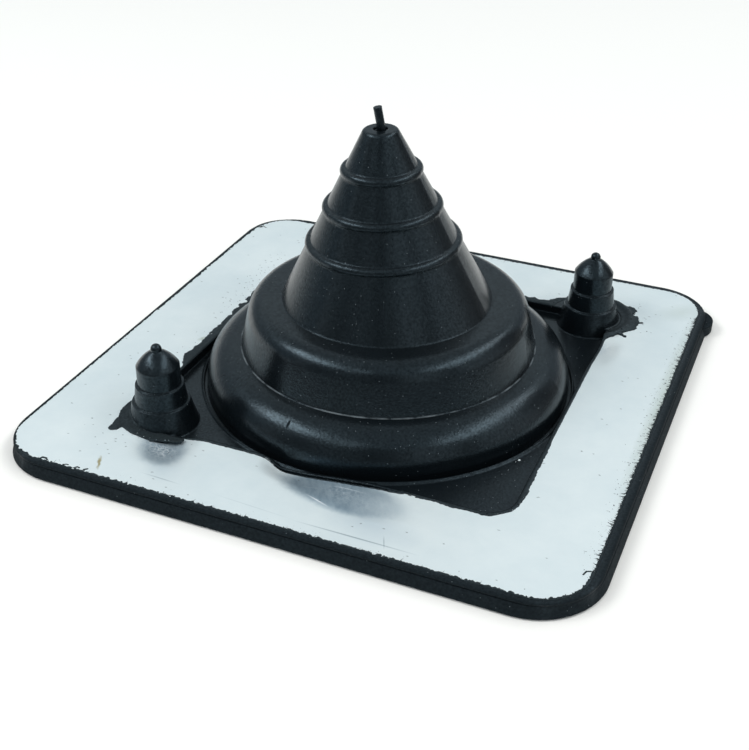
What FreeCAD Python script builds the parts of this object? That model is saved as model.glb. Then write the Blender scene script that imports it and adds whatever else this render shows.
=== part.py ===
import FreeCAD, Part
import math
import os

from FreeCAD import Vector

# Roof cable seal: a hollow rubber boot moulded in one piece with a square base pad, and a soft
# aluminium flange sheet bonded into the top of that pad. Sizes are in millimetres, +Z is up, and
# the origin is the middle of the underside, with X and Y along the sides of the square.

# Flange sheet, which lies a little off the middle of the pad
SHEET_SIZE = 110.0
SHEET_CORNER = 9.0
SHEET_THICKNESS = 0.7
SHEET_SHIFT = Vector(-0.5, -0.2, 0)

# Base pad: a low rim round the sheet on a tall, wider lip with drafted sides, parted by a thin
# groove, with a knob of moulding rubber left on the lip near one corner
PAD_THICKNESS = 3.2
RIM_WIDTH = 1.25
RIM_CORNER = 11.5
RIM_UPRIGHT = 0.15
LIP_OVERHANG = 0.75
LIP_CORNER = 13.0
LIP_DRAFT = 0.65
LIP_CHAMFER = 0.3
GROOVE_DROP = 0.7
GROOVE_GAP = 0.2
GROOVE_DEPTH = 0.3
KNOB_RADIUS = 5.0
KNOB_STAND = 0.9
KNOB_PLACE = 45.5

# Bellows roll, collar and shoulder of the boot, whose hollow has plain flats for its rounded parts
BOOT_WALL = 2.0
HOLLOW_FLATS = 3
ROLL_RADIUS = 7.0
ROLL_CENTRE_RADIUS = 29.6
ROLL_CENTRE_HEIGHT = 2.9
COLLAR_FOOT_RADIUS = 29.4
COLLAR_DRAFT = 13.0
SHOULDER_HEIGHT = 19.6
SHOULDER_ROUND = 4.0

# Cone, leaning a little on its shoulder, with beads where it is cut for each pipe size
CONE_FOOT_RADIUS = 20.7
CONE_TIP_RADIUS = 3.2
CONE_TIP_HEIGHT = 53.8
CONE_SUNK = 1.0
CONE_LEAN = 2.0
LEAN_HEADING = 203.0
LEAN_PIVOT_HEIGHT = 0.0
TIP_ROUND = 0.9
TIP_WALL = 3.0
CUT_BEAD_RADII = (14.55, 10.9, 7.2)
CUT_BEAD_ROUND = 0.9
CUT_BEAD_STAND = 0.6

# Moulding nib in a dimple on the tip, leaning further than the cone from a foot set back a little
DIMPLE_RADIUS = 1.4
DIMPLE_DEPTH = 0.7
NIB_RADIUS = 0.8
NIB_STAND = 4.1
NIB_LEAN = 8.5
NIB_SET_BACK = 0.4

# Narrow moat at the foot of the boot, with a ridge along its outer edge
MOAT_GAP = 0.8
MOAT_DEPTH = 0.6
RIDGE_HEIGHT = 0.4
RIDGE_TOP = 0.2
RIDGE_FOOT = 0.8

# Sunk floor round the boot, seen through the window in the sheet
FLOOR_HEIGHT = 1.4
FLOOR_MARGIN = 0.2
RECESS_CORNER = 5.0
RECESS_EDGE = 0.6

# Stepped cable nipples in two opposite corners of the floor, each set in from the two sides it
# stands by, with tiers listed from the foot up and a level rubber collar round the outer half
LEFT_NIPPLE_INSET = (4.7, 4.3)
RIGHT_NIPPLE_INSET = (5.0, 1.2)
NIPPLE_WALL = 1.4
TIER_FOOT_RADII = (7.3, 5.05, 4.15)
TIER_TOP_RADII = (5.5, 4.6, 4.1)
TIER_HEIGHTS = (5.05, 3.7, 3.95)
DOME_HEIGHT = 3.1
DOME_BULGE = 0.2
DOME_TOP_RADIUS = 0.95
BALL_RADIUS = 1.05
BALL_LIFT = 0.3
NIPPLE_COLLAR_WIDTH = 1.7
NIPPLE_COLLAR_SPAN = 180.0

# Underside: the lower lip, one square rib and rings round the mouths carry the part
RIB_HEIGHT = 0.35
LIP_SEAT_WIDTH = 3.0
RIB_INSET = 7.5
RIB_WIDTH = 1.6
RIB_CORNER = 7.0
MOUTH_RING_WIDTH = 3.2

# Dents where the sheet's edge was pressed down towards the floor, one by one:
# where along the window's side the dent starts, its length, how far out it begins to rise and
# where it ends, the share of its length at the deepest place, how deep it is as a share of the
# floor's depth, and how much less far out it reaches at its start
FRONT_DENT = dict(start=-9.0, length=24.0, foot=0.0, reach=8.6, peak=0.17, press=0.95, slant=0.5)
NIPPLE_DENT = dict(start=-33.5, length=13.0, foot=3.5, reach=10.3, peak=0.5, press=0.6, slant=0.0)
SIDE_DENT = dict(start=14.5, length=15.0, foot=0.0, reach=4.8, peak=0.7, press=0.4, slant=0.0)
DENT_BACK = 1.5
DENT_BED = 0.5
DENT_STEPS_ALONG = 18
DENT_STEPS_OUT = 9

# Places that follow from the sizes above
OVERCUT = 1.0
RECESS_DEPTH = PAD_THICKNESS - FLOOR_HEIGHT
SHEET_UNDERSIDE = PAD_THICKNESS - SHEET_THICKNESS
RIM_SIZE = SHEET_SIZE + 2 * RIM_WIDTH
GROOVE_HEIGHT = PAD_THICKNESS - GROOVE_DROP
RIM_BOTTOM = GROOVE_HEIGHT + GROOVE_GAP / 2
RIM_ROUND = PAD_THICKNESS - RIM_BOTTOM - RIM_UPRIGHT
LIP_SIZE = RIM_SIZE + 2 * LIP_OVERHANG
ROLL_OUTER_RADIUS = ROLL_CENTRE_RADIUS + ROLL_RADIUS
COLLAR_FOOT_HEIGHT = ROLL_CENTRE_HEIGHT + ROLL_RADIUS
CONE_RISE = CONE_TIP_HEIGHT - SHOULDER_HEIGHT
CONE_HALF_ANGLE = math.degrees(math.atan((CONE_FOOT_RADIUS - CONE_TIP_RADIUS) / CONE_RISE))
MOAT_RADIUS = ROLL_OUTER_RADIUS + MOAT_GAP
RECESS_SIZE = 2 * (MOAT_RADIUS + FLOOR_MARGIN)
WINDOW_SIZE = RECESS_SIZE + 2 * RECESS_EDGE
WINDOW_CORNER = RECESS_CORNER + RECESS_EDGE
NIPPLE_COLLAR_RADIUS = TIER_FOOT_RADII[0] + NIPPLE_COLLAR_WIDTH
NIPPLE_PLACES = (
    Vector(LEFT_NIPPLE_INSET[0] - RECESS_SIZE / 2, LEFT_NIPPLE_INSET[1] - RECESS_SIZE / 2, 0),
    Vector(RECESS_SIZE / 2 - RIGHT_NIPPLE_INSET[0], RECESS_SIZE / 2 - RIGHT_NIPPLE_INSET[1], 0),
)
MIDDLE = Vector(0, 0, 0)
UP = Vector(0, 0, 1)
LEAN_TURN = math.radians(LEAN_HEADING)
LEAN_DIRECTION = Vector(math.cos(LEAN_TURN), math.sin(LEAN_TURN), 0)


def section_point(radius, height):
    """A point of a half section, which is drawn in the XZ plane and turned about Z."""
    return Vector(radius, 0, height)


def line(start, end):
    return Part.LineSegment(start, end).toShape()


def arc_about(centre, radius, from_angle, to_angle):
    """An arc of a half section about a centre, with its angles in degrees from the +X direction."""
    points = []
    for angle in (from_angle, (from_angle + to_angle) / 2, to_angle):
        turn = math.radians(angle)
        points.append(centre + section_point(radius * math.cos(turn), radius * math.sin(turn)))
    return Part.Arc(*points).toShape()


def bend(centre, radius, from_angle, to_angle, flats):
    """A rounded part of a half section: a true arc, or a few straight flats inside that arc."""
    if flats == 0:
        return [arc_about(centre, radius, from_angle, to_angle)]
    points = []
    for i in range(flats + 1):
        turn = math.radians(from_angle + (to_angle - from_angle) * i / flats)
        points.append(centre + section_point(radius * math.cos(turn), radius * math.sin(turn)))
    return [line(start, end) for start, end in zip(points, points[1:])]


def first_point(edge):
    return edge.Vertexes[0].Point


def last_point(edge):
    return edge.Vertexes[-1].Point


def turned(edges):
    """The solid that a half section sweeps out about Z, closed along the axis if it is open."""
    if (first_point(edges[0]) - last_point(edges[-1])).Length > OVERCUT * 1e-3:
        edges = edges + [line(last_point(edges[-1]), first_point(edges[0]))]
    return Part.Face(Part.Wire(edges)).revolve(MIDDLE, UP, 360)


def post(radius, place, bottom, top):
    return Part.makeCylinder(radius, top - bottom, place + UP * bottom)


def rounded_square(size, corner, bottom, top, shift=MIDDLE):
    """An upright slab with a square outline and rounded corners."""
    low_corner = Vector(-size / 2, -size / 2, bottom) + shift
    block = Part.makeBox(size, size, top - bottom, low_corner)
    uprights = [edge for edge in block.Edges if edge.BoundBox.ZLength > OVERCUT * 1e-3]
    return block.makeFillet(corner, uprights)


def level_edges(solid, height):
    """The edges that lie flat at one height."""
    level = []
    for edge in solid.Edges:
        box = edge.BoundBox
        if abs(box.ZMin - height) + abs(box.ZMax - height) < OVERCUT * 1e-3:
            level.append(edge)
    return level


def square_outline(size, corner, height):
    """The outline of a square with rounded corners, lying flat at one height."""
    slab = rounded_square(size, corner, height, height + OVERCUT)
    return Part.Wire(Part.__sortEdges__(level_edges(slab, height)))


def leaned(solid, height, angle):
    """A form tipped by an angle towards the lean's heading, about a point on the axis."""
    solid.rotate(UP * height, UP.cross(LEAN_DIRECTION), angle)
    return solid


def side_offset(lean, radius, height):
    """Distance from the origin to a leaning side that passes through one point.

    The side's outward normal is lean degrees above level.
    """
    turn = math.radians(lean)
    return math.cos(turn) * radius + math.sin(turn) * height


def side_radius(lean, offset, height):
    turn = math.radians(lean)
    return (offset - math.sin(turn) * height) / math.cos(turn)


def crown_centre(lean, offset, top, radius):
    """Centre of an arc that is tangent to a leaning side and to a level top."""
    return section_point(side_radius(lean, offset - radius, top - radius), top - radius)


COLLAR_OFFSET = side_offset(COLLAR_DRAFT, COLLAR_FOOT_RADIUS, COLLAR_FOOT_HEIGHT)
CONE_OFFSET = side_offset(CONE_HALF_ANGLE, CONE_FOOT_RADIUS, SHOULDER_HEIGHT)


def roll_meets_collar(inset):
    """Angle on the bellows roll at which the collar's side stands on it."""
    centre_offset = side_offset(COLLAR_DRAFT, ROLL_CENTRE_RADIUS, ROLL_CENTRE_HEIGHT)
    reach = (COLLAR_OFFSET - inset - centre_offset) / (ROLL_RADIUS - inset)
    return COLLAR_DRAFT + math.degrees(math.acos(reach))


def joined(parts):
    """Straight lines that join a row of points and bends into one half section."""
    edges = []
    last = None
    for part in parts:
        start = first_point(part[0]) if isinstance(part, list) else part
        if last is not None:
            edges.append(line(last, start))
        if isinstance(part, list):
            edges.extend(part)
            last = last_point(part[-1])
        else:
            last = part
    return edges


def roll_and_collar(inset, foot, flats):
    """Bellows roll, collar and shoulder, drawn a given inset inside the boot's outer skin."""
    roll = ROLL_RADIUS - inset
    roll_centre = section_point(ROLL_CENTRE_RADIUS, ROLL_CENTRE_HEIGHT)
    top = SHOULDER_HEIGHT - inset
    crown = SHOULDER_ROUND - inset
    crown_middle = crown_centre(COLLAR_DRAFT, COLLAR_OFFSET - inset, top, crown)
    return turned(joined([
        section_point(0, foot),
        section_point(ROLL_CENTRE_RADIUS + roll, foot),
        bend(roll_centre, roll, 0, roll_meets_collar(inset), flats),
        bend(crown_middle, crown, COLLAR_DRAFT, 90, flats),
        section_point(0, top),
    ]))


def cone(inset, tip, flats):
    """The cone up to its tip, drawn a given inset inside the outer skin and sunk in the shoulder."""
    foot = SHOULDER_HEIGHT - inset - CONE_SUNK
    tip_middle = crown_centre(CONE_HALF_ANGLE, CONE_OFFSET - inset, tip, TIP_ROUND)
    return turned(joined([
        section_point(0, foot),
        section_point(side_radius(CONE_HALF_ANGLE, CONE_OFFSET - inset, foot), foot),
        bend(tip_middle, TIP_ROUND, CONE_HALF_ANGLE, 90, flats),
        section_point(0, tip),
    ]))


def cut_beads():
    """Half-round rings on the cone, each at its own cone radius."""
    beads = []
    for radius in CUT_BEAD_RADII:
        height = SHOULDER_HEIGHT + (CONE_FOOT_RADIUS - radius) / math.tan(math.radians(CONE_HALF_ANGLE))
        ring = radius + CUT_BEAD_STAND - CUT_BEAD_ROUND
        beads.append(Part.makeTorus(ring, CUT_BEAD_ROUND, UP * height))
    return beads


def moulding_nib():
    """The thin rod that stands in the dimple on the tip."""
    foot = CONE_TIP_HEIGHT - DIMPLE_DEPTH - NIB_RADIUS
    rod = post(NIB_RADIUS, LEAN_DIRECTION * -NIB_SET_BACK, foot, CONE_TIP_HEIGHT + NIB_STAND)
    return leaned(rod, foot, NIB_LEAN)


def boot_skin():
    """The boot's outer form, still solid inside."""
    dimple = post(DIMPLE_RADIUS, MIDDLE, CONE_TIP_HEIGHT - DIMPLE_DEPTH, CONE_TIP_HEIGHT + OVERCUT)
    head = cone(0, CONE_TIP_HEIGHT, 0).fuse(cut_beads()).cut(dimple).fuse(moulding_nib())
    return roll_and_collar(0, 0, 0).fuse(leaned(head, LEAN_PIVOT_HEIGHT, CONE_LEAN))


def boot_hollow():
    """The space inside the boot, open through the underside."""
    head = cone(BOOT_WALL, CONE_TIP_HEIGHT - TIP_WALL, HOLLOW_FLATS)
    body = roll_and_collar(BOOT_WALL, -OVERCUT, HOLLOW_FLATS)
    return body.fuse(leaned(head, LEAN_PIVOT_HEIGHT, CONE_LEAN))


def tier_tops():
    tops = []
    height = FLOOR_HEIGHT
    for rise in TIER_HEIGHTS:
        height += rise
        tops.append(height)
    return tops


def tiers(inset, foot, lowered):
    """Half section of a nipple's tiers, each drawn inset from its side and lowered at its top."""
    edges = []
    last = section_point(0, foot)
    for foot_radius, top_radius, top in zip(TIER_FOOT_RADII, TIER_TOP_RADII, tier_tops()):
        start = section_point(foot_radius - inset, last.z)
        edges.append(line(last, start))
        last = section_point(top_radius - inset, top - lowered)
        edges.append(line(start, last))
    return edges


def nipple_skin(place):
    """A nipple's outer form: three tiers, a bulging dome and a ball on its point."""
    edges = tiers(0, 0, 0)
    shoulder = last_point(edges[-1])
    dome_top = section_point(DOME_TOP_RADIUS, shoulder.z + DOME_HEIGHT)
    middle = (shoulder + dome_top) / 2 + section_point(DOME_BULGE, DOME_BULGE)
    edges.append(Part.Arc(shoulder, middle, dome_top).toShape())
    edges.append(line(dome_top, section_point(0, dome_top.z)))
    form = turned(edges).fuse(Part.makeSphere(BALL_RADIUS, UP * (dome_top.z + BALL_LIFT)))
    form.translate(place)
    return form


def nipple_hollow(place):
    """The stepped space inside a nipple, open through the underside."""
    edges = tiers(NIPPLE_WALL, -OVERCUT, NIPPLE_WALL)
    shoulder = last_point(edges[-1])
    edges.append(line(shoulder, section_point(0, shoulder.z + DOME_HEIGHT)))
    form = turned(edges)
    form.translate(place)
    return form


def drafted_lip(top):
    """The lip: a chamfer at its foot, and sides that draw in up to its top."""
    foot = square_outline(LIP_SIZE - 2 * LIP_CHAMFER, LIP_CORNER - LIP_CHAMFER, 0)
    widest = square_outline(LIP_SIZE, LIP_CORNER, LIP_CHAMFER)
    drawn_in = square_outline(LIP_SIZE - 2 * LIP_DRAFT, LIP_CORNER - LIP_DRAFT, top)
    return Part.makeLoft([foot, widest, drawn_in], True, True)


def base_slab():
    """The pad's outside: lower lip, grooved waist and upper rim."""
    lip_top = GROOVE_HEIGHT - GROOVE_GAP / 2
    lip = drafted_lip(lip_top)
    knob_middle = Vector(LIP_SIZE / 2 + KNOB_STAND - KNOB_RADIUS, KNOB_PLACE, 0)
    knob = post(KNOB_RADIUS, knob_middle, LIP_CHAMFER, lip_top)
    rim = rounded_square(RIM_SIZE, RIM_CORNER, RIM_BOTTOM, PAD_THICKNESS)
    rim = rim.makeFillet(RIM_ROUND, level_edges(rim, PAD_THICKNESS))
    waist_size = RIM_SIZE - 2 * GROOVE_DEPTH
    waist = rounded_square(waist_size, RIM_CORNER - GROOVE_DEPTH, lip_top / 2, RIM_BOTTOM + RIM_UPRIGHT)
    return lip.fuse([waist, rim, knob])


def nipple_collar(place):
    """The outer part of a disc about a nipple, on the side away from the boot."""
    height = CONE_TIP_HEIGHT
    disc = Part.makeCylinder(NIPPLE_COLLAR_RADIUS, height, place, UP, NIPPLE_COLLAR_SPAN)
    outward = math.degrees(math.atan2(place.y, place.x))
    disc.rotate(place, UP, outward - NIPPLE_COLLAR_SPAN / 2)
    return disc


def recess():
    """The sunk floor's square, less the collars that stand level with the sheet."""
    square = rounded_square(RECESS_SIZE, RECESS_CORNER, FLOOR_HEIGHT, CONE_TIP_HEIGHT)
    return square.cut([nipple_collar(place) for place in NIPPLE_PLACES])


def sheet_window():
    """The window in the sheet: the floor's square and a lobe round each nipple's collar."""
    lobes = [post(NIPPLE_COLLAR_RADIUS, place, 0, CONE_TIP_HEIGHT) for place in NIPPLE_PLACES]
    return rounded_square(WINDOW_SIZE, WINDOW_CORNER, 0, CONE_TIP_HEIGHT).fuse(lobes)


def moat_ridge():
    """A low ridge that stands on the floor along the moat's outer edge."""
    low = FLOOR_HEIGHT - RIDGE_HEIGHT
    high = FLOOR_HEIGHT + RIDGE_HEIGHT
    corners = [
        section_point(MOAT_RADIUS, low),
        section_point(MOAT_RADIUS, high),
        section_point(MOAT_RADIUS + RIDGE_TOP, high),
        section_point(MOAT_RADIUS + RIDGE_FOOT, low),
    ]
    return turned([line(start, end) for start, end in zip(corners, corners[1:])])


def underside_field():
    """What is taken away below the pad so that its lip, rib and rings stand proud."""
    field = rounded_square(LIP_SIZE - 2 * LIP_SEAT_WIDTH, LIP_CORNER, -OVERCUT, RIB_HEIGHT)
    rib_size = SHEET_SIZE - 2 * RIB_INSET
    rib = rounded_square(rib_size, RIB_CORNER, -OVERCUT, RIB_HEIGHT)
    inside = rounded_square(rib_size - 2 * RIB_WIDTH, RIB_CORNER - RIB_WIDTH, -OVERCUT, RIB_HEIGHT)
    mouth = ROLL_OUTER_RADIUS - BOOT_WALL + MOUTH_RING_WIDTH
    nipple_mouth = TIER_FOOT_RADII[0] - NIPPLE_WALL + MOUTH_RING_WIDTH
    proud = [rib.cut(inside), post(mouth, MIDDLE, -OVERCUT, RIB_HEIGHT)]
    proud += [post(nipple_mouth, place, -OVERCUT, RIB_HEIGHT) for place in NIPPLE_PLACES]
    return field.cut(proud)


def ease(share):
    """A smooth rise from 0 to 1."""
    share = min(max(share, 0.0), 1.0)
    return share * share * (3 - 2 * share)


def dent_depth(dent, along, out):
    """Depth of a dent at a share of its length and a distance out from the window's side."""
    if along < dent["peak"]:
        swell = ease(along / dent["peak"])
    else:
        swell = ease((1 - along) / (1 - dent["peak"]))
    slope = dent["reach"] - dent["foot"]
    slope *= 1 - dent["slant"] * (1 - ease(2 * along))
    return dent["press"] * RECESS_DEPTH * swell * (1 - ease((out - dent["foot"]) / slope))


def dents():
    """Each dent with the corner it starts from, its direction along the side and its direction out."""
    side = WINDOW_SIZE / 2
    front = (Vector(1, 0, 0), Vector(0, -1, 0))
    right = (Vector(0, 1, 0), Vector(1, 0, 0))
    placed = []
    for dent, (along, out) in ((FRONT_DENT, front), (NIPPLE_DENT, front), (SIDE_DENT, right)):
        placed.append((dent, along * dent["start"] + out * side, along, out))
    return placed


def dented_face(dent, corner, along, out, height):
    """The dented part of a level face that lies at a height, as one smooth patch."""
    rows = []
    for i in range(DENT_STEPS_ALONG + 1):
        share = i / DENT_STEPS_ALONG
        row = []
        for j in range(DENT_STEPS_OUT + 1):
            distance = -DENT_BACK + (dent["reach"] + DENT_BACK) * j / DENT_STEPS_OUT
            place = corner + along * (share * dent["length"]) + out * distance
            row.append(place + UP * (height - dent_depth(dent, share, distance)))
        rows.append(row)
    surface = Part.BSplineSurface()
    surface.interpolate(rows)
    return surface.toShape()


def dent_block(dent, corner, along, out, bottom, top):
    """The upright block that a dent's patch covers."""
    low = corner - out * DENT_BACK + UP * bottom
    outline = [low, low + along * dent["length"]]
    outline.append(outline[-1] + out * (dent["reach"] + DENT_BACK))
    outline.append(low + out * (dent["reach"] + DENT_BACK))
    face = Part.Face(Part.makePolygon(outline + [low]))
    return face.extrude(UP * (top - bottom))


def pressed_pad(pad):
    """The pad with its top pushed down below each dent of the sheet."""
    opening = sheet_window()
    for dent, corner, along, out in dents():
        block = dent_block(dent, corner, along, out, DENT_BED, CONE_TIP_HEIGHT).cut(recess())
        under_sheet = dented_face(dent, corner, along, out, SHEET_UNDERSIDE).extrude(UP * -PAD_THICKNESS)
        at_edge = dented_face(dent, corner, along, out, PAD_THICKNESS).extrude(UP * -PAD_THICKNESS)
        bed = under_sheet.common(block).cut(opening)
        edge = at_edge.common(block).common(opening)
        pad = pad.cut(block).fuse([bed, edge])
    return pad


def pressed_sheet(sheet):
    """The sheet with each dent formed in it at its full thickness."""
    for dent, corner, along, out in dents():
        block = dent_block(dent, corner, along, out, 0, CONE_TIP_HEIGHT)
        face = dented_face(dent, corner, along, out, PAD_THICKNESS)
        sheet = sheet.cut(block).fuse(face.extrude(UP * -SHEET_THICKNESS).cut(sheet_window()))
    return sheet


def rubber_boot():
    seat = rounded_square(SHEET_SIZE, SHEET_CORNER, SHEET_UNDERSIDE, CONE_TIP_HEIGHT, SHEET_SHIFT)
    pad = base_slab().cut([seat.cut(sheet_window()), recess(), underside_field()])
    pad = pressed_pad(pad)
    pad = pad.cut(post(MOAT_RADIUS, MIDDLE, FLOOR_HEIGHT - MOAT_DEPTH, CONE_TIP_HEIGHT))
    nipples = [nipple_skin(place) for place in NIPPLE_PLACES]
    solid = pad.fuse([moat_ridge(), boot_skin()] + nipples)
    hollows = [boot_hollow()] + [nipple_hollow(place) for place in NIPPLE_PLACES]
    return solid.cut(hollows).removeSplitter()


def aluminium_flange():
    sheet = rounded_square(SHEET_SIZE, SHEET_CORNER, SHEET_UNDERSIDE, PAD_THICKNESS, SHEET_SHIFT)
    return pressed_sheet(sheet.cut(sheet_window())).removeSplitter()


os.makedirs("parts", exist_ok=True)
for name, shape in (("rubber_boot", rubber_boot()), ("aluminium_flange", aluminium_flange())):
    shape.exportStep(os.path.join("parts", name + ".step"))
    print(name, "solids", len(shape.Solids), "valid", shape.isValid(), "volume", round(shape.Volume, 1))
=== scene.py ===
# %% [markdown]
# # A roof cable seal
#
# The object is a square pad of black rubber with a soft aluminium sheet bonded into its top. A stepped
# rubber cone stands on a bellows roll in the middle, and two small stepped nipples stand at opposite
# corners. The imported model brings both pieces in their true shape. This script gives the rubber its
# finish, redraws the sheet with its fine crinkles, and adds the thin torn rubber that moulding left
# along the sheet's edges.

# %% Load the frame
import math
import random

import bmesh
import bpy
import numpy as np
from mathutils import Matrix, Vector, noise
from mathutils.bvhtree import BVHTree


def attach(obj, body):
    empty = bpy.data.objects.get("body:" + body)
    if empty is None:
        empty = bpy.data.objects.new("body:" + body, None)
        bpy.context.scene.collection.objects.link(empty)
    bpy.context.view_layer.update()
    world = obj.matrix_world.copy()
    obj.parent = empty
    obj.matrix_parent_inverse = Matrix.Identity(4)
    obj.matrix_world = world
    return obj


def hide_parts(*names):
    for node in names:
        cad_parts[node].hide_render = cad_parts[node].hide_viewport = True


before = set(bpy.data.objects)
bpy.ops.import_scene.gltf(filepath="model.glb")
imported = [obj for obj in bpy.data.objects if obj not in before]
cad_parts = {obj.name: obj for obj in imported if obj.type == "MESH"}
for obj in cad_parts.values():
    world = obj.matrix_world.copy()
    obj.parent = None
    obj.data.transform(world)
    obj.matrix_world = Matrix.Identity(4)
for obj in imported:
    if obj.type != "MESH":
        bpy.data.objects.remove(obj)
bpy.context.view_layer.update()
MM = 0.001
print("nodes:", sorted(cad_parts))

# %% [markdown]
# ## The camera
#
# A camera can be placed by eye, or worked out. Here it was worked out: the corners of the square sheet
# and the outline of the cone fix where the photographer stood. The three directions below are the
# camera's own right, up and backward directions, so they are the columns of its matrix.

# %% Camera
camera = bpy.data.objects.new("camera", bpy.data.cameras.new("camera"))
bpy.context.scene.collection.objects.link(camera)
camera_right = Vector((0.92027891, 0.39123526, 0.00465835))
camera_up = Vector((-0.21234688, 0.48941991, 0.84579959))
camera_back = Vector((0.32862673, -0.77936072, 0.53348041))
camera_place = Vector((78.78310979, -193.83189155, 132.70289513)) * MM
camera_turn = Matrix((camera_right, camera_up, camera_back)).transposed()
camera.matrix_world = Matrix.Translation(camera_place) @ camera_turn.to_4x4()
camera.data.sensor_width = 36.0
camera.data.sensor_fit = "HORIZONTAL"
camera.data.lens = 57.893
camera.data.clip_start = 0.01
bpy.context.scene.camera = camera
bpy.context.scene.view_settings.view_transform = "Standard"
print("camera stands", round(camera_place.length, 3), "m from the seal")

# %% [markdown]
# ## Colours and nodes
#
# Colours are picked as hex values, the way a paint program shows them, and Blender wants them linear.
# One function turns one into the other. A second small function adds a node: its settings, its plain
# input values and its links in one call, so that a material reads like a recipe.


# %% Helpers for materials
def colour(hex_code):
    """An sRGB hex colour as linear RGBA."""
    shares = [int(hex_code[i:i + 2], 16) / 255 for i in (1, 3, 5)]
    linear = [s / 12.92 if s <= 0.04045 else ((s + 0.055) / 1.055) ** 2.4 for s in shares]
    return (*linear, 1.0)


def add_node(tree, kind, inputs=None, **settings):
    """Adds one node, sets its settings, and fills or links its inputs."""
    node = tree.nodes.new(kind)
    for name, value in settings.items():
        setattr(node, name, value)
    for socket, value in (inputs or {}).items():
        if isinstance(value, bpy.types.NodeSocket):
            tree.links.new(value, node.inputs[socket])
        else:
            node.inputs[socket].default_value = value
    return node


def new_material(name):
    """An empty node material: itself, its tree, its output and its object coordinates."""
    material = bpy.data.materials.new(name)
    material.use_nodes = True
    tree = material.node_tree
    tree.nodes.clear()
    output = add_node(tree, "ShaderNodeOutputMaterial")
    place = add_node(tree, "ShaderNodeTexCoord").outputs["Object"]
    return material, tree, output, place


def per_mm(size):
    """The texture scale that makes one cell of a pattern this many millimetres wide."""
    return 1 / (size * MM)


print("black rubber #080b0d in linear light:", [round(c, 4) for c in colour("#080b0d")])

# %% [markdown]
# ## Floor and backdrop
#
# The seal was shot on white. The floor is a plain pale paper that keeps the shadow. The backdrop is the
# world: pale at the horizon, a duller cool band above it, and paler again higher up. A picture of a
# studio could light it too, but a few shades are easier to tune.

# %% Floor
FLOOR_HALF = 20.0
FLOOR_DROP = 0.0001
floor_mesh = bpy.data.meshes.new("floor")
floor_corners = [(FLOOR_HALF * a, FLOOR_HALF * b, 0) for a, b in ((-1, -1), (1, -1), (1, 1), (-1, 1))]
floor_mesh.from_pydata(floor_corners, [], [(0, 1, 2, 3)])
floor = bpy.data.objects.new("floor", floor_mesh)
bpy.context.scene.collection.objects.link(floor)
floor.location.z = -FLOOR_DROP
floor_paper, tree, output, _ = new_material("white_background_paper")
matt = add_node(tree, "ShaderNodeBsdfDiffuse", {"Color": colour("#fffdf9")})
tree.links.new(matt.outputs[0], output.inputs["Surface"])
floor_mesh.materials.append(floor_paper)
print("floor:", 2 * FLOOR_HALF, "m wide")

# %% World
world = bpy.data.worlds.new("studio")
bpy.context.scene.world = world
world.use_nodes = True
tree = world.node_tree
tree.nodes.clear()
heading = add_node(tree, "ShaderNodeTexCoord").outputs["Generated"]
height = add_node(tree, "ShaderNodeSeparateXYZ", {0: heading}).outputs["Z"]
sweep = add_node(tree, "ShaderNodeValToRGB", {"Fac": height})
sweep.color_ramp.elements[0].color = colour("#c2cbd0")
sweep.color_ramp.elements[1].position = 0.90
sweep.color_ramp.elements[1].color = colour("#c1c3c4")
for position, shade in ((0.10, "#919da5"), (0.30, "#919da5"), (0.52, "#c9d5da")):
    sweep.color_ramp.elements.new(position).color = colour(shade)
sky = add_node(tree, "ShaderNodeBackground", {"Color": sweep.outputs["Color"], "Strength": 1.0})
tree.links.new(sky.outputs[0], add_node(tree, "ShaderNodeOutputWorld").inputs["Surface"])
print("world:", len(sweep.color_ramp.elements), "shades from the horizon up")

# %% [markdown]
# ## Soft boxes
#
# The highlights look as if the seal stood between two soft boxes, with a faint fill light in front. A
# soft box is a lamp behind white cloth, and an area light acts like one: its size sets how wide a
# highlight is. Its power follows from its size and the brightness of its cloth, so a box that is made
# larger still looks equally white in the rubber.

# %% Soft boxes
SEAL_MIDDLE = Vector((0, 0, 0.02))


def around(turn, rise, distance):
    """A place seen from the seal: turned from the front towards +X, and raised, in degrees."""
    turn, rise = math.radians(turn), math.radians(rise)
    return distance * Vector((math.sin(turn) * math.cos(rise), -math.cos(turn) * math.cos(rise),
                              math.sin(rise)))


def soft_box(name, turn, rise, width, height, brightness, distance=0.9):
    """A soft box facing the seal. Brightness is the light its cloth shows, where 1 is white."""
    lamp = bpy.data.lights.new(name, "AREA")
    lamp.shape = "RECTANGLE"
    lamp.size = width
    lamp.size_y = height
    lamp.energy = brightness * math.pi * width * height
    box = bpy.data.objects.new(name, lamp)
    bpy.context.scene.collection.objects.link(box)
    box.location = around(turn, rise, distance)
    box.rotation_euler = (SEAL_MIDDLE - box.location).to_track_quat("-Z", "Y").to_euler()
    box.visible_camera = False


soft_box("soft_box_left", turn=-57, rise=46, width=0.52, height=0.30, brightness=6.3)
soft_box("soft_box_right", turn=107, rise=51, width=1.15, height=0.24, brightness=3.7)
soft_box("fill_light", turn=-12, rise=45, width=0.32, height=0.22, brightness=1.9)

# %% [markdown]
# ## The darker room
#
# Black rubber shows what stands round it, and its deep blacks look as if the room behind the camera was
# darker. A curved grey cloth stands for that room, and only reflections see it. It is darkest in its
# middle and hangs in folds, which show as soft upright bands in the cone. Its foot lies on the table
# round the front of the seal, which keeps the upright sides of the collar dark.

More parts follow.
